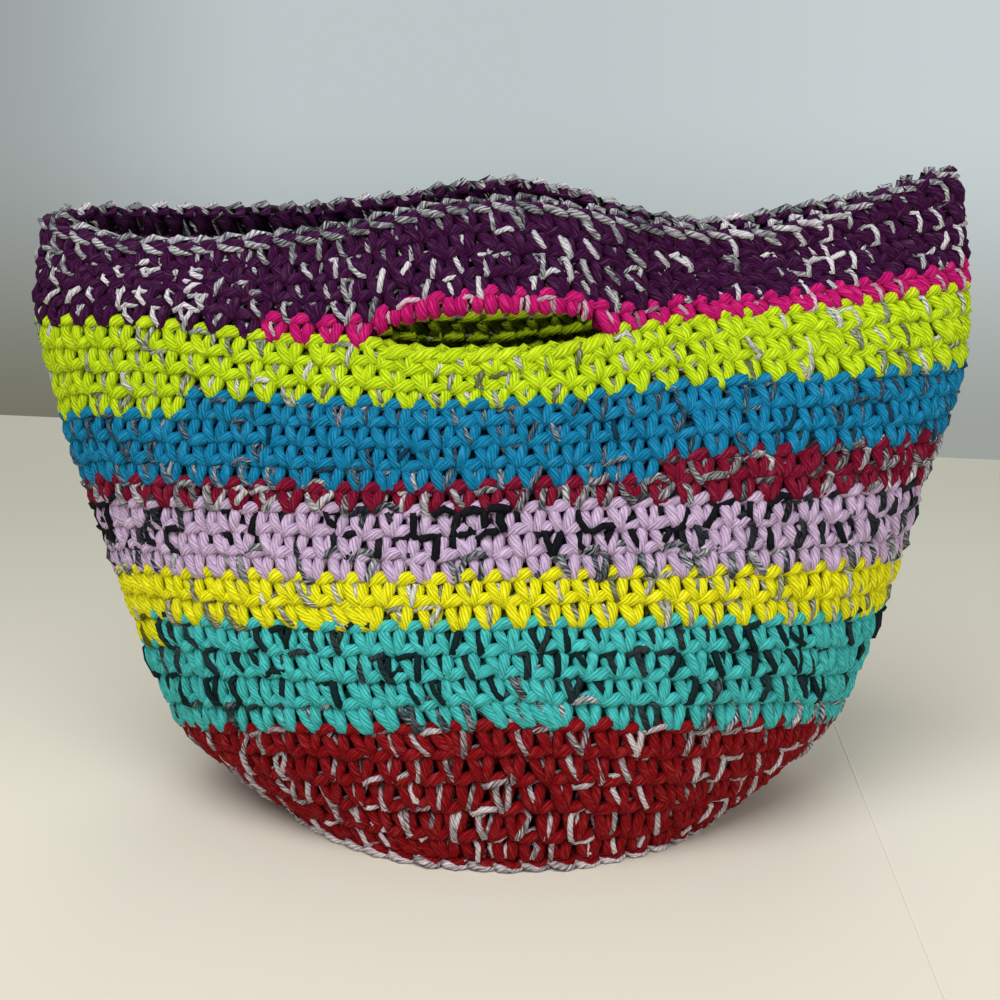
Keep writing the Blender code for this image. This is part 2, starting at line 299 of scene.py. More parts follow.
def profile(level):
    # half width, half depth, height at the ends, height at front and back, all in mm
    rows = bagForm["rows"]
    onWall = np.clip(level, 0.0, rows[-1])
    beyond = np.maximum(level - rows[-1], 0.0)
    rowHeight = (bagForm["sideHeight"][-1] - bagForm["sideHeight"][-2]) / (rows[-1] - rows[-2])
    share = np.minimum((level + bagForm["baseRounds"]) / bagForm["baseRounds"], 1.0)
    width = smoothCurve(onWall, rows, bagForm["halfWidth"]) * share
    depth = smoothCurve(onWall, rows, bagForm["halfDepth"]) * share
    side = smoothCurve(onWall, rows, bagForm["sideHeight"]) + beyond * rowHeight
    front = smoothCurve(onWall, rows, bagForm["frontHeight"]) + beyond * rowHeight
    return width, depth, side, front


def makeAngleTable(samples=361, levelStep=0.25):
    # angle round the bag for even steps along the wall, one line for each level
    angles = np.linspace(0.0, 2 * np.pi, samples)
    shares = np.linspace(0.0, 1.0, samples)
    lines = []
    for level in np.arange(0.0, crochet["lastTurn"] + 2.0, levelStep):
        width, depth, side, front = profile(np.array(level))
        steps = np.hypot(np.diff(width * np.cos(angles)), np.diff(depth * np.sin(angles)))
        length = np.concatenate(([0.0], np.cumsum(steps)))
        lines.append(np.interp(shares, length / length[-1], angles))
    return np.array(lines), samples, levelStep


angleTable, angleSamples, angleStep = makeAngleTable()


def angleAt(share, level):
    line = np.clip(level / angleStep, 0, len(angleTable) - 1.001)
    row = line.astype(int)
    mix = line - row
    place = (share % 1.0) * (angleSamples - 1)
    left = np.minimum(place.astype(int), angleSamples - 2)
    part = place - left
    lower = angleTable[row, left] * (1 - part) + angleTable[row, left + 1] * part
    upper = angleTable[row + 1, left] * (1 - part) + angleTable[row + 1, left + 1] * part
    return lower * (1 - mix) + upper * mix


def slotMove(x, level, atFront, above):
    # up over a hand slot, down under it
    slotLevel = np.where(atFront, handSlot["frontLevel"], handSlot["backLevel"])
    away = (x - handSlot["centre"]) / handSlot["halfLength"]
    arch = np.sqrt(np.clip(1 - away * away, 0, 1))
    sag = -handSlot["sag"] * arch * ease(level, slotLevel - handSlot["sagRows"], slotLevel)
    nearRim = ease(level, slotLevel, bagForm["rows"][-1])
    reach = np.clip((x - handSlot["centre"]) / handSlot["humpHalfLength"], -1, 1)
    hump = np.cos(reach * np.pi / 2) ** 2
    lift = handSlot["lift"] * arch * (1 - nearRim) + handSlot["humpHeight"] * hump * nearRim
    return np.where(above, lift, sag)


def bump(x, place):
    centre, half = place
    return np.cos(np.clip((x - centre) / half, -1, 1) * np.pi / 2) ** 2


def between(level, rows):
    return ease(level, rows[0], rows[1]) * (1 - ease(level, rows[2], rows[3]))


def rowMove(x, level, swing):
    # heights added where the rim and the rows depart from even curves
    bends = rowBends
    atFront = swing > 0
    move = bends["bow"] * bump(x, bends["bowAt"]) * between(level, bends["bowRows"])
    bowl = bends["bowlBow"] * bump(np.abs(x), bends["bowlBowAt"])
    move = move + bowl * between(level, bends["bowlBowRows"])
    swell = bends["leftSwell"] * between(level, bends["leftSwellRows"])
    front = bump(x, bends["left"]) * (swell - bends["leftDrop"] * ease(level, *bends["leftDropRows"]))
    back = bends["backRise"] * ease(-x, *bends["backRiseSpan"]) * ease(level, *bends["backRiseRows"])
    move = (move + np.where(atFront, front, back)) * ease(np.abs(swing), 0.0, bends["endFade"])
    dip = np.where(atFront, bump(x, bends["dipFront"]), bump(x, bends["dipBack"]))
    move = move - bends["rimDip"] * dip * ease(level, *bends["dipRows"])
    sink = ease(-swing, 0.0, bends["backSinkFade"]) * ease(level, *bends["backSinkRows"])
    right = ease(np.abs(swing), 0.0, bends["rightFade"]) * ease(level, *bends["rightRows"])
    right = right * ease(x, *bends["right"]) * np.where(atFront, bends["rightFront"], bends["rightBack"])
    return move - bends["backSink"] * sink + right


def wallPoint(turn, level, inward, above):
    # a point of the fabric, in metres; the turn gives the place round the bag
    angle = angleAt(turn, np.maximum(level, 0.0))
    width, depth, side, front = profile(level)
    widthUp, depthUp, sideUp, frontUp = profile(level + 0.5)
    widthDown, depthDown, sideDown, frontDown = profile(level - 0.5)
    swing = np.sin(angle)
    frontal = swing ** 2
    run = (widthUp - widthDown) * (1 - frontal) + (depthUp - depthDown) * frontal
    rise = (sideUp - sideDown) * (1 - frontal) + (frontUp - frontDown) * frontal
    slope = np.maximum(np.hypot(run, rise), 0.001)
    out = rise / slope
    up = -run / slope
    x = (width - inward * out) * np.cos(angle)
    blunt = ease(-x, bagForm["mouthFrom"], bagForm["mouthTo"]) * ease(level, *bagForm["mouthRows"])
    openHalf = (depth - inward * out) * np.abs(swing) ** (1 - (1 - bagForm["mouthPower"]) * blunt)
    pressed = bagForm["wall"] + bagForm["lipsHalfGap"] - bagForm["lipsSqueeze"] * inward
    closedHalf = pressed * np.abs(swing) ** bagForm["lipsRounding"]
    drawn = ease(x, bagForm["lipsFrom"], bagForm["lipsTo"])
    drawn = drawn * ease(level, bagForm["lipsFirstRow"], bagForm["rows"][-1])
    y = -np.sign(swing) * (openHalf * (1 - drawn) + closedHalf * drawn)
    atEnd = ease(np.abs(x), *rowBends["endShiftFrom"]) * ease(level, *rowBends["endShiftRows"])
    x = x - rowBends["endShift"] * atEnd
    tilt = bagForm["rightRise"] * np.cos(angle) * np.clip(level / bagForm["rows"][3], 0.0, 1.0)
    z = side + (front - side) * frontal + tilt - inward * up
    z = z + slotMove(x, level, swing > 0, above) + rowMove(x, level, swing)
    return np.stack((x, y, z), axis=-1) * mm


# Where each stitch stands

def stitchTurns():
    # where every stitch stands, in turns of the spiral, and how far it leans to its hole
    start = crochet["startTurn"]
    turns = [start + crochet["firstStitch"]]
    while turns[-1] < 0:
        stitches = crochet["baseGain"] * (turns[-1] - start) + crochet["ringStitches"]
        turns.append(turns[-1] + 1.0 / stitches)
    index = np.arange(len(turns), dtype=float)
    nearest = np.round(np.interp(np.array(turns) - 1.0, turns, index))
    leans = list((np.interp(nearest, index, turns) + 1.0 - turns) / np.gradient(turns))
    leans = [0.0 if turn < start + crochet["leanAfter"] else lean for turn, lean in zip(turns, leans)]
    hole = int(np.searchsorted(turns, turns[-1] - 1.0))
    sinceGain = 0
    while turns[-1] < crochet["lastTurn"]:
        # a stitch goes into the next stitch of the round below, and now and then two share one
        wanted = float(np.interp(turns[-1], crochet["countTurns"], crochet["counts"]))
        sinceGain += 1
        short = len(turns) - hole - 1 < wanted - crochet["holeBack"] - 0.5
        if short and sinceGain > crochet["gainApart"]:
            sinceGain = 0
        else:
            hole += 1
        aim = turns[hole] + 1.0 - crochet["holeBack"] * (turns[hole + 1] - turns[hole])
        even = 1.0 / wanted
        miss = (aim - turns[-1] - even) / even
        turns.append(turns[-1] + even * (1 + crochet["settle"] * max(-1.0, min(1.0, miss))))
        leans.append((aim - turns[-1]) / even)
    return np.array(turns), np.clip(leans, -crochet["mostLean"], crochet["mostLean"])


def steadyNoise(rng, count, points, knots):
    # a smooth random course along the yarn, with so many knots in each stitch
    values = rng.normal(0.0, 1.0, count * knots + 1)
    place = (np.arange(count * points) + 0.5) / points * knots
    return np.interp(place, np.arange(len(values)), values).reshape(count, points)


def nearSlot(stand, above):
    # which stitches edge a hand slot: those that stand on its upper edge or end at its lower one
    near = np.zeros(len(stand), dtype=bool)
    row = stand if above else stand + 1.0
    for level in (handSlot["frontLevel"], handSlot["backLevel"]):
        width = profile(np.full(len(stand), level))[0]
        x = width * np.cos(angleAt(stand, np.full(len(stand), level)))
        atEdge = np.abs(row - level) < handSlot["edgeRows"]
        near |= atEdge & (np.abs(x - handSlot["centre"]) < handSlot["halfLength"])
    return near


def change(table, kinds):
    # the points that differ, for each kind of stitch
    for here, changes in kinds:
        for point, values in changes.items():
            table[here, point] = values


def unit(vectors):
    return vectors / np.linalg.norm(vectors, axis=1)[:, None]


def yarnLines():
    rng = np.random.default_rng(crochet["seed"])
    turns, leans = stitchTurns()
    count = len(turns) - 1
    points = len(stitchLine)
    stand = turns[:-1]
    rim = stand >= crochet["lastTurn"] - 1.0
    inside = (stand >= crochet["insideTurn"]) & ~rim
    slotEdge = nearSlot(stand, False)
    slotWrap = nearSlot(stand, True)
    ridgeTurn = crochet["ridgeTurn"]
    ridge = (stand >= ridgeTurn - 1.0) & (stand < ridgeTurn)
    line = np.repeat(np.array(stitchLine)[None, :, :], count, axis=0)
    change(line, ((rim, openLoops), (slotEdge, slotLoops), (slotWrap, wrapLegs), (ridge, ridgeLoops)))
    thin = np.zeros((count, points, 3))     # outward, upward and plump
    thin[:, :, 2] = 1.0
    change(thin, ((inside, insideStrand), (rim, rimStrand), (slotEdge, slotStrand), (ridge, ridgeStrand)))
    left, up, out, plump, paintedShade = np.moveaxis(line, 2, 0)
    pulled = np.where(slotWrap, 0.0, leans[:-1])
    for point, pull in enumerate(holePull):
        left[:, point] += pulled * pull
    for values, share in zip((left, up, out, plump), crochet["jitter"]):
        values += steadyNoise(rng, count, points, crochet["jitterKnots"]) * share
    backOnly = (stand >= ridgeTurn) & (stand < ridgeTurn + 1.0)
    out[np.ix_(backOnly, backLoops["points"])] -= backLoops["inward"]
    up[np.ix_(backOnly, backLoops["points"])] += backLoops["up"]
    lowered = 1 - ease(count - 1.0 - np.arange(count), 0.0, crochet["lastStitches"])
    up *= (1 - (1 - crochet["lastHeight"]) * lowered)[:, None]
    turn = stand[:, None] + left * np.diff(turns)[:, None]
    level = turn + up
    low, high = crochet["baseFlatLevels"]
    out *= 1 - crochet["baseFlat"] * ease(-level, low, high)
    above = np.repeat((stand[:, None] >= handSlot["firstTurnAbove"]), points, axis=1)
    inward = crochet["middle"] - out
    # the line itself, and points half a millimetre outward and a fifth of a row up from it
    centre = wallPoint(turn.ravel(), level.ravel(), inward.ravel(), above.ravel())
    outer = wallPoint(turn.ravel(), level.ravel(), inward.ravel() - 0.5, above.ravel())
    upper = wallPoint(turn.ravel(), level.ravel() + 0.2, inward.ravel(), above.ravel())
    rise = unit(upper - centre)
    normal = unit(outer - centre)
    along = np.concatenate((centre[1:2] - centre[:1], centre[2:] - centre[:-2], centre[-1:] - centre[-2:-1]))
    tangent = unit(along)
    facing = normal - tangent * np.sum(normal * tangent, axis=1)[:, None]
    facing += crochet["sideways"] * np.cross(tangent, np.array((0.0, 0.0, 1.0)))
    facing = unit(facing - tangent * np.sum(facing * tangent, axis=1)[:, None])
    thin = thin.reshape(-1, 3)
    return {
        "turns": turns,
        "points": points,
        "centre": centre,
        "facing": facing,
        "across": np.cross(tangent, facing),
        "plump": plump.ravel(),
        "paintedShade": np.clip(paintedShade.ravel(), 0.0, 1.0),
        "fixed": normal * thin[:, :1] + rise * thin[:, 1:2],
        "thinPlump": thin[:, 2],
        "place": turn.ravel(),
        "rng": rng,
    }


# The strands as tubes

def strandMesh(name, path, radius, sides, values):
    # a tube along the path, with a map along the yarn and another that packs it in a square
    count = len(path)
    tangent = unit(np.gradient(path, axis=0))
    side = np.empty_like(path)
    side[0] = np.cross(tangent[0], (0.0, 0.0, 1.0))
    for i in range(1, count):
        side[i] = side[i - 1] - tangent[i] * np.dot(side[i - 1], tangent[i])
        side[i] /= math.sqrt(np.dot(side[i], side[i]))
    other = np.cross(tangent, side)
    angle = (np.arange(sides) * 2 * np.pi / sides)[None, :, None]
    ring = np.cos(angle) * side[:, None, :] + np.sin(angle) * other[:, None, :]
    verts = (path[:, None, :] + ring * radius[:, None, None]).reshape(-1, 3)
    verts[:, 2] = np.maximum(verts[:, 2], crochet["lowest"] * mm)
    verts = np.concatenate((verts, path[[0, -1]]))
    row = np.arange(count - 1)[:, None] * sides
    col = np.arange(sides)[None, :]
    nextCol = (col + 1) % sides
    corners = (row + col, row + nextCol, row + sides + nextCol, row + sides + col)
    quads = np.stack(corners, axis=-1).reshape(-1, 4)
    first = count * sides
    last = first - sides
    caps = [(first, (j + 1) % sides, j) for j in range(sides)]
    caps += [(first + 1, last + j, last + (j + 1) % sides) for j in range(sides)]
    loops = np.concatenate((quads.ravel(), np.array(caps).ravel()))
    sizes = np.concatenate((np.full(len(quads), 4), np.full(len(caps), 3)))
    mesh = bpy.data.meshes.new(name)
    mesh.vertices.add(len(verts))
    mesh.vertices.foreach_set("co", verts.ravel())
    mesh.loops.add(len(loops))
    mesh.loops.foreach_set("vertex_index", loops)
    mesh.polygons.add(len(sizes))
    mesh.polygons.foreach_set("loop_start", np.concatenate(([0], np.cumsum(sizes)[:-1])))
    mesh.polygons.foreach_set("loop_total", sizes)
    mesh.polygons.foreach_set("use_smooth", np.ones(len(sizes), dtype=bool))
    mapStrand(mesh, path, sides, len(caps), float(np.mean(radius)))
    for key, along in values.items():
        layer = mesh.attributes.new(key, "FLOAT", "POINT")
        layer.data.foreach_set("value", np.concatenate((np.repeat(along, sides), along[[0, -1]])))
    mesh.update()
    mesh.validate()
    return mesh


mapLook = {
    "yarnMap": "YarnUV",        # once round the yarn by its length in metres
    "bakeMap": "OFBake",        # strips side by side in a square
    "edge": 0.002,              # left free at both ends of a strip
    "inset": 0.06,              # and at both sides, as a share of its width
    "capCorner": 0.999,
    "capSize": 0.0005,
}


def mapStrand(mesh, path, sides, capCount, radius):
    steps = np.linalg.norm(np.diff(path, axis=0), axis=1)
    length = np.concatenate(([0.0], np.cumsum(steps)))
    around = np.arange(sides + 1) / sides
    alongA = np.repeat(length[:-1], sides)
    alongB = np.repeat(length[1:], sides)
    aroundA = np.tile(around[:-1], len(steps))
    aroundB = np.tile(around[1:], len(steps))
    yarn = np.stack((aroundA, alongA, aroundB, alongA, aroundB, alongB, aroundA, alongB), axis=1)
    fillMap(mesh, mapLook["yarnMap"], yarn, np.zeros((capCount * 3, 2)))
    # the strips are cut wherever one is full
    stripLength = math.sqrt(length[-1] * 2 * np.pi * radius)
    strips = int(math.ceil(length[-1] / stripLength)) + 1
    strip = np.floor(length[:-1] / (length[-1] / (strips - 0.5)))
    start = length[:-1][np.searchsorted(strip, strip)]
    scale = (1 - 2 * mapLook["edge"]) / np.max(length[1:] - start)
    lowX = np.repeat((length[:-1] - start) * scale + mapLook["edge"], sides)
    highX = np.repeat((length[1:] - start) * scale + mapLook["edge"], sides)
    across = mapLook["inset"] + (1 - 2 * mapLook["inset"]) * around
    lowY = ((strip[:, None] + across[None, :-1]) / strips).ravel()
    highY = ((strip[:, None] + across[None, 1:]) / strips).ravel()
    packed = np.stack((lowX, lowY, lowX, highY, highX, highY, highX, lowY), axis=1)
    low = mapLook["capCorner"]
    high = low + mapLook["capSize"]
    fillMap(mesh, mapLook["bakeMap"], packed, np.tile(((low, low), (high, low), (low, high)), (capCount, 1)))


def fillMap(mesh, name, quads, caps):
    mesh.uv_layers.new(name=name)
    places = np.concatenate((quads.reshape(-1, 2), caps))
    mesh.uv_layers[name].uv.foreach_set("vector", places.ravel())


# Materials

class Wire:
    # wraps one socket of a material, so that shader maths is written as plain sums
    def __init__(self, tree, socket):
        self.tree = tree
        self.socket = socket

    def maths(self, operation, other=0.0, turned=False):
        node = self.tree.nodes.new("ShaderNodeMath")
        node.operation = operation
        pair = (other, self) if turned else (self, other)
        for slot, value in zip(node.inputs, pair):
            fill(self.tree, slot, value)
        return Wire(self.tree, node.outputs[0])

    def output(self, index):
        # another output of the same node
        return Wire(self.tree, self.socket.node.outputs[index])

    def __add__(self, other):
        return self.maths("ADD", other)

    def __radd__(self, other):
        return self.maths("ADD", other, True)

    def __sub__(self, other):
        return self.maths("SUBTRACT", other)

    def __rsub__(self, other):
        return self.maths("SUBTRACT", other, True)

    def __mul__(self, other):
        return self.maths("MULTIPLY", other)

    def __rmul__(self, other):
        return self.maths("MULTIPLY", other, True)


def fill(tree, slot, value):
    if isinstance(value, Wire):
        tree.links.new(value.socket, slot)
    else:
        slot.default_value = value


class Finish:
    # a material or the room's backdrop, whose nodes all come from the method node
    def __init__(self, name, room=None):
        self.material = room or bpy.data.materials.new(name)
        self.material.use_nodes = True
        self.tree = self.material.node_tree
        self.shader = self.tree.nodes["Background" if room else "Principled BSDF"]

    def node(self, kind, settings=None, sockets=None, output=0):
        made = self.tree.nodes.new(kind)
        settings = dict(settings or {})
        stops = settings.pop("stops", None)
        for key, value in settings.items():
            setattr(made, key, value)
        if stops:
            ramp = made.color_ramp
            while len(ramp.elements) < len(stops):
                ramp.elements.new(0.5)
            for element, (place, colour) in zip(ramp.elements, stops):
                element.position = place
                element.color = (*colour, 1.0)
        for key, value in (sockets or {}).items():
            fill(self.tree, made.inputs[key], value)
        return Wire(self.tree, made.outputs[output])

    def mix(self, factor, first, second):
        return self.node("ShaderNodeMix", {"data_type": "RGBA"}, {0: factor, 6: first, 7: second}, 2)

    def put(self, **values):
        for key, value in values.items():
            fill(self.tree, self.shader.inputs[key.replace("_", " ")], value)
        return self.material


def scaled(colour, share):
    return (*[channel * share for channel in colour], 1.0)


def plyPlace(finish, look):
    # the place across the plies, counted in plies, and the place along the yarn in metres
    parts = finish.node("ShaderNodeSeparateXYZ", None,
                        {0: finish.node("ShaderNodeUVMap", {"uv_map": mapLook["yarnMap"]})})
    alongYarn = parts.output(1)
    return parts * look["plies"] + alongYarn * (look["plies"] / look["plyLength"]), alongYarn


def plyWave(across):
    # 0 in the grooves between the plies and 1 on top of each ply
    return (across * math.pi).maths("SINE").maths("ABSOLUTE")


def fibreNoise(finish, look, across, alongYarn):
    # fine streaks that run with the plies
    place = finish.node("ShaderNodeCombineXYZ", None,
                        {0: across * look["fibreAcross"], 1: alongYarn * look["fibreAlong"]})
    return finish.node("ShaderNodeTexNoise", {"noise_dimensions": "2D"},
                       {"Vector": place, "Scale": look["fibreScale"], "Detail": look["fibreDetail"],
                        "Roughness": look["fibreRoughness"]})


def bumps(finish, look, wave, fibre):
    height = wave * look["bumpPly"] + fibre * look["bumpFibre"]
    return finish.node("ShaderNodeBump", None,
                       {"Strength": look["bumpStrength"], "Distance": look["bumpDepth"], "Height": height})


yarnLook = {
    "plies": 9,
    "plyLength": 0.021,         # length of one full turn of the plies
    "paintedGrooveShade": 0.42,             # painted shade in the grooves between the plies: their brightness
    "grooveEdge": 0.6,          # lower makes the painted groove shade narrower
    "wobble": 0.9,              # how unevenly the plies run
    "fibreAcross": 0.9,
    "fibreAlong": 95.0,
    "fibreScale": 2.2,
    "fibreDetail": 2.0,
    "fibreRoughness": 0.6,
    "fibreShadeBelow": 0.47,          # where the fibre noise is lower than this, painted shade between the fibres makes the yarn duller
    "fibreShadeGain": 2.8,
    "paintedFibreShade": 0.36,
    "highlightAbove": 0.50,        # and where it is higher than this, it has light streaks: painted highlights where the fibres catch the light
    "highlightGain": 3.0,
    "highlightColourGain": 1.32,
    "highlightColourAdd": 0.040,
    "highlightColourMost": 0.97,
    "patchScale": 34.0,         # broad lighter patches of stronger painted highlight
    "patchDetail": 1.0,
    "patchGain": 0.6,
    "paintedShade": 0.97,               # how much painted shade, a darker copy of the yarn's colour, goes where it lies deep
    "paintedShadeTone": 0.06,
    "bumpStrength": 0.60,
    "bumpDepth": 0.0006,
    "bumpEdge": 0.7,
    "bumpPly": 0.75,
    "bumpFibre": 0.3,
    "roughness": 0.85,
    "sheen": 0.03,
    "sheenRoughness": 0.45,
    "specular": 0.10,
}


def solidYarn(name, colour):
    look = yarnLook
    finish = Finish(name)
    across, alongYarn = plyPlace(finish, look)
    fibre = fibreNoise(finish, look, across, alongYarn)
    wave = plyWave(across + (fibre - 0.5) * look["wobble"])
    patch = finish.node("ShaderNodeTexNoise", {"noise_dimensions": "3D"},
                        {"Scale": look["patchScale"], "Detail": look["patchDetail"]})
    paintedShade = finish.node("ShaderNodeAttribute", {"attribute_name": "paintedShade"}, None, 2)
    # the colour of the painted highlights, a paler copy of the yarn's colour, also the sheen's tint
    light = [min(channel * look["highlightColourGain"] + look["highlightColourAdd"], look["highlightColourMost"]) for channel in colour]
    light = scaled(light, 1.0)
    # painted shade in the grooves between the plies
    onPly = wave.maths("POWER", look["grooveEdge"])
    tone = finish.mix(onPly, scaled(colour, look["paintedGrooveShade"]), scaled(colour, 1.0))
    # painted shade between the fibres where the fibre noise is low
    tone = finish.mix((look["fibreShadeBelow"] - fibre) * look["fibreShadeGain"], tone, scaled(colour, look["paintedFibreShade"]))
    # painted highlight streaks where the fibres catch the light, stronger in broad patches
    paintedHighlight = (fibre - look["highlightAbove"]) * look["highlightGain"] + (patch - 0.5) * look["patchGain"]
    tone = finish.mix(paintedHighlight, tone, light)
    # painted shade where the yarn lies deep between its neighbours
    tone = finish.mix(paintedShade * look["paintedShade"], tone, scaled(colour, look["paintedShadeTone"]))
    return finish.put(
        Base_Color=tone,
        Roughness=look["roughness"],
        Sheen_Weight=look["sheen"],
        Sheen_Roughness=look["sheenRoughness"],
        Sheen_Tint=light,
        Specular_IOR_Level=look["specular"],
        Normal=bumps(finish, look, wave.maths("POWER", look["bumpEdge"]), fibre),
    )


thinLook = {
    "stops": (
        (0.00, (0.004, 0.005, 0.007)),
        (0.28, (0.035, 0.040, 0.045)),
        (0.52, (0.20, 0.21, 0.22)),
        (0.76, (0.50, 0.49, 0.50)),
        (1.00, (0.84, 0.81, 0.83)),
    ),
    # how light the strand is, from the base up: turns of the spiral and places in the stops
    "tones": (
        (-9.0, 0.74), (-1.5, 0.80), (-0.4, 0.82), (0.6, 0.80), (2.5, 0.76),         # red
        (4.8, 0.62), (5.3, 0.40), (6.3, 0.06), (8.4, 0.05),                         # turquoise
        (8.9, 0.55), (10.7, 0.60),                                                  # yellow
        (11.0, 0.50), (11.7, 0.30), (12.3, 0.01), (13.7, 0.0),                      # lavender
        (14.0, 0.56), (15.2, 0.55),                                                 # crimson
        (16.0, 0.20), (18.3, 0.30), (18.8, 0.60), (21.6, 0.62),                     # blue and lime
        (21.9, 0.80), (22.5, 0.82), (25.5, 0.78), (26.0, 0.64), (27.0, 0.60),       # pink and purple
    ),
    "spread": 0.16,             # how far it strays from these
    "plies": 4,
    "plyLength": 0.0085,
    "plyGrooveShade": (0.30, 0.04),    # how much darker the grooves are, as painted shade: by the strand's own tone, and at least
    "plyEven": 0.8,             # where the wave of the plies leaves the tone as it is
    "fibreAcross": 0.8,
    "fibreAlong": 110.0,
    "fibreScale": 2.4,
    "fibreDetail": 2.0,
    "fibreRoughness": 0.6,
    "marl": (0.16, 5.2),        # light and dark fibres: at least, and more in the middle greys
    # painted shade where the strand lies deep: its share, and how dark it is
    "paintedShade": 0.6,
    "paintedShadeTone": 0.10,
    "bumpStrength": 0.5,
    "bumpDepth": 0.0005,
    "bumpPly": 0.8,
    "bumpFibre": 0.3,
    "roughness": 0.85,
    "specular": 0.08,
}


def thinYarn(name, cast, bounceAndFuzzShare):
    # the thin strand runs through black, greys and white, with a cast of the yarn beside it: partly its
    # fuzz, partly painted bounce light
    look = thinLook
    finish = Finish(name)
    across, alongYarn = plyPlace(finish, look)
    wave = plyWave(across)
    shade = finish.node("ShaderNodeAttribute", {"attribute_name": "shade"}, None, 2)
    paintedShade = finish.node("ShaderNodeAttribute", {"attribute_name": "paintedShade"}, None, 2)
    fibre = fibreNoise(finish, look, across, alongYarn)
    leastMarl, marlGain = look["marl"]
    plyGain, leastPly = look["plyGrooveShade"]
    marl = leastMarl + shade * (1 - shade) * marlGain
    # the marl is the strand's own light and dark fibres; the ply term is painted shade in the grooves
    place = shade + (fibre - 0.5) * marl + (wave - look["plyEven"]) * (shade * plyGain + leastPly)
    tone = finish.node("ShaderNodeValToRGB", {"stops": look["stops"]}, {"Fac": place})
    # the yarn beside it tints the strand: partly its fuzz, partly painted bounce light
    tone = finish.mix(bounceAndFuzzShare, tone, scaled(cast, 1.0))
    # painted shade where the strand lies deep: a dark copy of the yarn beside it
    tone = finish.mix(paintedShade * look["paintedShade"], tone, scaled(cast, look["paintedShadeTone"]))
    return finish.put(
        Base_Color=tone,
        Roughness=look["roughness"],
        Specular_IOR_Level=look["specular"],
        Normal=bumps(finish, look, wave, fibre),
    )


# The stripes from the base up: the turn where each starts, its yarn, how far the thin strand
# strays from behind the solid one (in degrees), its radius, and how much of the colour it takes on, partly
# from the fuzz of the solid yarn and partly as painted bounce light
stripes = (
    {"node": "red_base", "slot": "red_yarn", "turn": crochet["startTurn"],
     "colour": (0.25, 0.001, 0.004), "thinStray": 88.0, "thin": 1.05, "cast": 0.18},
    {"node": "turquoise_band", "slot": "turquoise_yarn", "turn": 4.80,
     "colour": (0.060, 0.52, 0.50), "thinStray": 84.0, "thin": 1.22, "cast": 0.02},
    {"node": "yellow_band", "slot": "yellow_yarn", "turn": 8.45,
     "colour": (0.88, 0.84, 0.006), "thinStray": 66.0, "thin": 1.05, "cast": 0.10},
    {"node": "lavender_band", "slot": "lavender_yarn", "turn": 10.75,
     "colour": (0.60, 0.44, 0.63), "thinStray": 125.0, "thin": 1.35, "cast": 0.0},
    {"node": "crimson_band", "slot": "crimson_yarn", "turn": 13.70,
     "colour": (0.21, 0.002, 0.025), "thinStray": 115.0, "thin": 1.35, "cast": 0.06},
    {"node": "blue_band", "slot": "blue_yarn", "turn": 15.171,
     "colour": (0.003, 0.215, 0.41), "thinStray": 72.0, "thin": 0.90, "cast": 0.14},
    {"node": "lime_band", "slot": "lime_yarn", "turn": 18.403,
     "colour": (0.55, 0.76, 0.006), "thinStray": 62.0, "thin": 1.00, "cast": 0.12},
    {"node": "pink_band", "slot": "pink_yarn", "turn": handSlot["firstTurnAbove"],
     "colour": (0.56, 0.005, 0.155), "thinStray": 50.0, "thin": 0.85, "cast": 0.30},
    {"node": "purple_band", "slot": "purple_yarn", "turn": 22.373,
     "colour": (0.043, 0.0015, 0.040), "thinStray": 76.0, "thin": 1.00, "cast": 0.10},
)


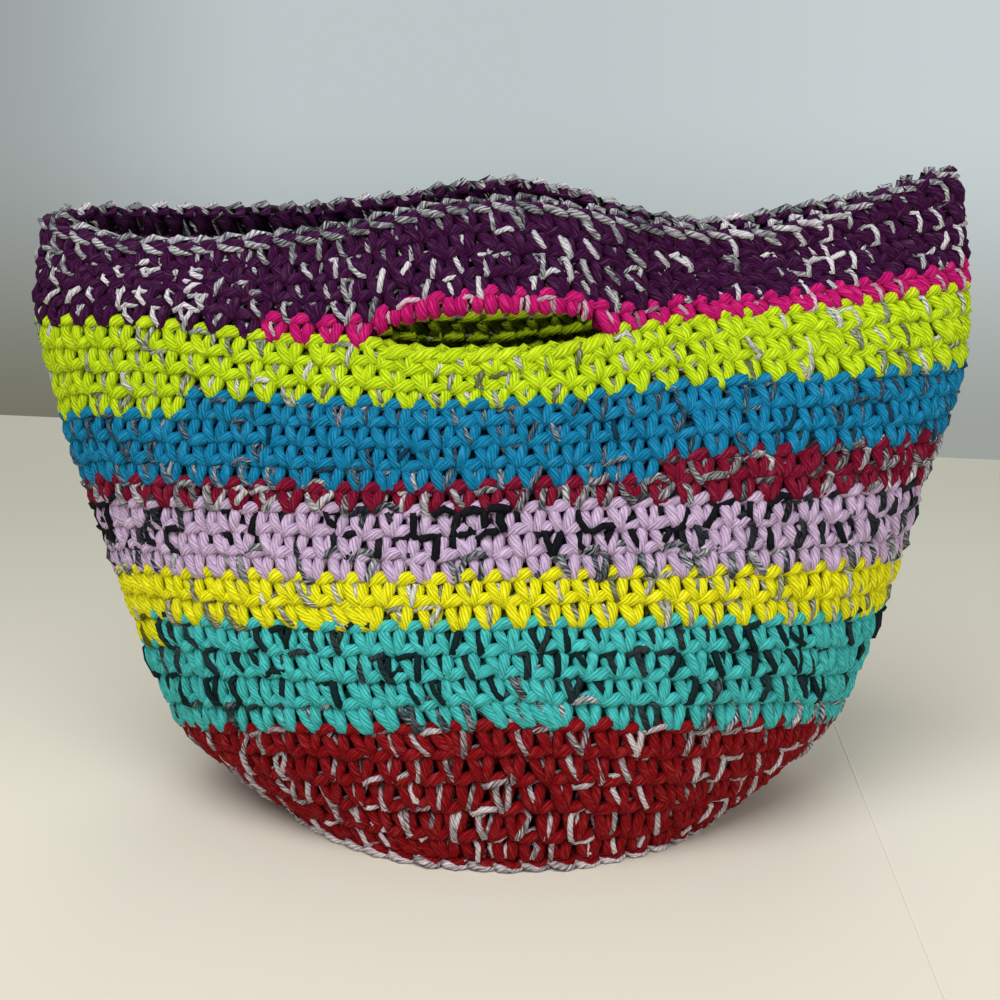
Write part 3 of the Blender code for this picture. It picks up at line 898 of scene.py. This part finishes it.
def makeBag():
    yarn = yarnLines()
    points = yarn["points"]
    stand = yarn["turns"][:-1]
    count = len(stand)
    rng = yarn["rng"]
    stray = steadyNoise(rng, count, points, crochet["strayKnots"]).ravel()
    slowShade = steadyNoise(rng, count, points, 1).ravel()
    tone = np.interp(yarn["place"], *zip(*thinLook["tones"])) + thinLook["spread"] * slowShade
    tone = np.clip(tone, 0.0, 1.0)
    ends = [item["turn"] for item in stripes[1:]] + [crochet["lastTurn"] + 1.0]
    bag = bpy.data.collections.new("crochetToteBag")
    scene.collection.children.link(bag)
    triangles = 0
    for item, end in zip(stripes, ends):
        stitches = np.nonzero((stand >= item["turn"]) & (stand < end))[0]
        run = slice(stitches[0] * points, (stitches[-1] + 1) * points)
        # on which side of the line the strands lie: fixed for open loops, straying elsewhere
        side = np.radians(np.tile(hiddenSide, len(stitches)) + item["thinStray"] * stray[run])
        lay = yarn["facing"][run] * np.cos(side)[:, None] + yarn["across"][run] * np.sin(side)[:, None]
        fixed = yarn["fixed"][run]
        reach = np.linalg.norm(fixed, axis=1)
        lay = np.where(reach[:, None] > 0, fixed / np.maximum(reach, 0.001)[:, None], lay)
        thick, thinner = crochet["thinTaper"]
        taper = np.where(reach > 0, 1.0, thick + thinner * np.cos(side))
        # the strand's own tone, and how deep it lies, which sets the painted shade
        values = {"shade": tone[run], "paintedShade": yarn["paintedShade"][run]}
        solid = crochet["solidRadius"] * yarn["plump"][run]
        thin = item["thin"] * yarn["thinPlump"][run] * taper
        strands = (
            ("Yarn", solid, crochet["solidShift"], crochet["solidSides"]),
            ("Strand", thin, crochet["thinShift"], crochet["thinSides"]),
        )
        finishes = (
            solidYarn(item["slot"], item["colour"]),
            thinYarn(item["slot"] + "_thin", item["colour"], item["cast"]),
        )
        for (part, radius, shift, sides), finish in zip(strands, finishes):
            name = item["node"] + part
            path = yarn["centre"][run] + lay * shift * mm
            mesh = strandMesh(name, path, radius * mm, sides, values)
            mesh.materials.append(finish)
            triangles += len(mesh.loops) - 2 * len(mesh.polygons)
            piece = bpy.data.objects.new(name, mesh)
            bag.objects.link(piece)
            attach(piece, "root")
            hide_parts(item["node"])
        print(item["node"], "made with", len(stitches), "stitches")
    print("the bag has", triangles, "triangles")


makeBag()

# Floor, backdrop and lights

floorLook = {
    # painted shade: the floor is lighter near the front and darker far behind the bag
    "near": (0.72, 0.675, 0.575),
    "far": (0.46, 0.46, 0.38),
    "paintedShadeFade": (-0.15, 0.45),
    "end": 0.499,               # behind the bag the floor ends at a line, which comes nearer to the right
    "slant": -0.172,
    "endHalfWidth": 0.6,
    "front": -2.5,
    "back": 1.5,
    "halfWidth": 3.0,
    "seam": (0.76, 0.72, 0.62),
    "seamRight": 0.133,
    "seamWidth": 0.0006,
    "seamRun": (-1.0, 0.3),
    "seamHeight": 0.0002,
    "roughness": 0.75,
    "specular": 0.15,
}


def smoothShare(finish, value, low, high):
    return finish.node("ShaderNodeMapRange", {"interpolation_type": "SMOOTHSTEP"},
                       {"Value": value, "From Min": low, "From Max": high})


def floorPiece(name, corners, finish, colour):
    mesh = bpy.data.meshes.new(name)
    mesh.from_pydata(corners, [], [tuple(range(len(corners)))])
    look = {"Base_Color": colour, "Roughness": floorLook["roughness"]}
    mesh.materials.append(finish.put(**look, Specular_IOR_Level=floorLook["specular"]))
    piece = bpy.data.objects.new(name, mesh)
    scene.collection.objects.link(piece)


def makeFloor():
    look = floorLook
    half = look["endHalfWidth"]
    leftEnd = look["end"] - half * look["slant"]
    rightEnd = look["end"] + half * look["slant"]
    wide = look["halfWidth"]
    front = look["front"]
    back = look["back"]
    corners = ((-wide, front, 0), (wide, front, 0), (wide, back, 0), (half, back, 0),
               (half, rightEnd, 0), (-half, leftEnd, 0), (-half, back, 0), (-wide, back, 0))
    finish = Finish("floor")
    parts = finish.node("ShaderNodeSeparateXYZ", None, {0: finish.node("ShaderNodeTexCoord", None, None, 3)})
    # painted shade: the floor darkens towards the back
    share = smoothShare(finish, parts.output(1), *look["paintedShadeFade"])
    tone = finish.mix(share, scaled(look["near"], 1.0), scaled(look["far"], 1.0))
    floorPiece("floor", corners, finish, tone)
    left = look["seamRight"]
    right = left + look["seamWidth"]
    near, far = look["seamRun"]
    high = look["seamHeight"]
    corners = ((left, near, high), (right, near, high), (right, far, high), (left, far, high))
    floorPiece("floorSeam", corners, Finish("floorSeam"), scaled(look["seam"], 1.0))


# The wall behind is the room's own colour, with painted shade: darker at the left and at its foot. Its
# blends go by the direction of the look, first by how far that is to the right, then by how far it is up.
roomLook = {
    # painted shade makes the wall darker at the left
    "left": (0.33, 0.36, 0.355),
    "middle": (0.51, 0.57, 0.58),
    "right": (0.58, 0.64, 0.65),
    "paintedFootShade": (0.17, 0.17, 0.125),
    "toMiddle": (-0.26, -0.10),
    "toRight": (0.0, 0.25),
    "toFoot": (-0.10, -0.26),
    "footFade": (-0.2, 0.2),    # the painted shade at the foot is darker at the left
    "footFadeShare": 0.4,
    "light": (0.97, 0.98, 1.0),
    "lightLevel": 0.42,
}


def makeRoom():
    # plain even light from all round, and a wall's colours with painted shade where the camera looks past
    # the floor
    look = roomLook
    room = Finish("room", bpy.data.worlds.new("room"))
    scene.world = room.material
    rightward = room.node("ShaderNodeSeparateXYZ", None, {0: room.node("ShaderNodeTexCoord", None, None, 0)})
    tone = scaled(look["left"], 1.0)
    for blend, colour in (("toMiddle", "middle"), ("toRight", "right")):
        tone = room.mix(smoothShare(room, rightward, *look[blend]), tone, scaled(look[colour], 1.0))
    # painted shade at the foot of the wall, weaker towards the right
    paintedFootShade = smoothShare(room, rightward.output(2), *look["toFoot"])
    low, high = look["footFade"]
    paintedShadeFade = room.node("ShaderNodeMapRange", None, {"Value": rightward, "From Min": low, "From Max": high})
    tone = room.mix(paintedFootShade * (1 - paintedShadeFade * look["footFadeShare"]), tone, scaled(look["paintedFootShade"], 1.0))
    seen = room.node("ShaderNodeLightPath", None, None, 0)
    room.put(Color=room.mix(seen, scaled(look["light"], look["lightLevel"]), tone), Strength=1.0)


lampLook = (
    {"name": "keyLight", "place": (-0.40, -0.9, 1.7), "size": 1.5, "power": 28.0},
    {"name": "fillLight", "place": (0.9, -1.1, 0.8), "size": 1.0, "power": 5.0},
    {"name": "backLight", "place": (0.3, 1.4, 1.1), "size": 1.4, "power": 7.0},
)
lampAim = (0.0, 0.0, 0.1)


def makeLamp(name, place, size, power):
    data = bpy.data.lights.new(name, "AREA")
    data.shape = "DISK"
    data.size = size
    data.energy = power
    lamp = bpy.data.objects.new(name, data)
    lamp.location = place
    lamp.rotation_euler = (Vector(lampAim) - Vector(place)).to_track_quat("-Z", "Y").to_euler()
    scene.collection.objects.link(lamp)


cameraLook = {
    "pitch": 17.0,
    "distance": 735.0,
    "aimHeight": 112.0,
    "aimLeft": -3.7,
    "lens": 72.0,
    "sensor": 36.0,
}


def makeCamera():
    data = bpy.data.cameras.new("camera")
    data.sensor_width = cameraLook["sensor"]
    data.lens = cameraLook["lens"]
    camera = bpy.data.objects.new("camera", data)
    pitch = math.radians(cameraLook["pitch"])
    back = cameraLook["distance"] * math.cos(pitch)
    lift = cameraLook["distance"] * math.sin(pitch)
    place = Vector((cameraLook["aimLeft"], -back, cameraLook["aimHeight"] + lift))
    camera.location = place * mm
    camera.rotation_euler = (math.radians(90.0) - pitch, 0.0, 0.0)
    scene.collection.objects.link(camera)
    scene.camera = camera


makeFloor()
makeRoom()
for lamp in lampLook:
    makeLamp(**lamp)
makeCamera()
print("floor, room, lamps and camera ready")
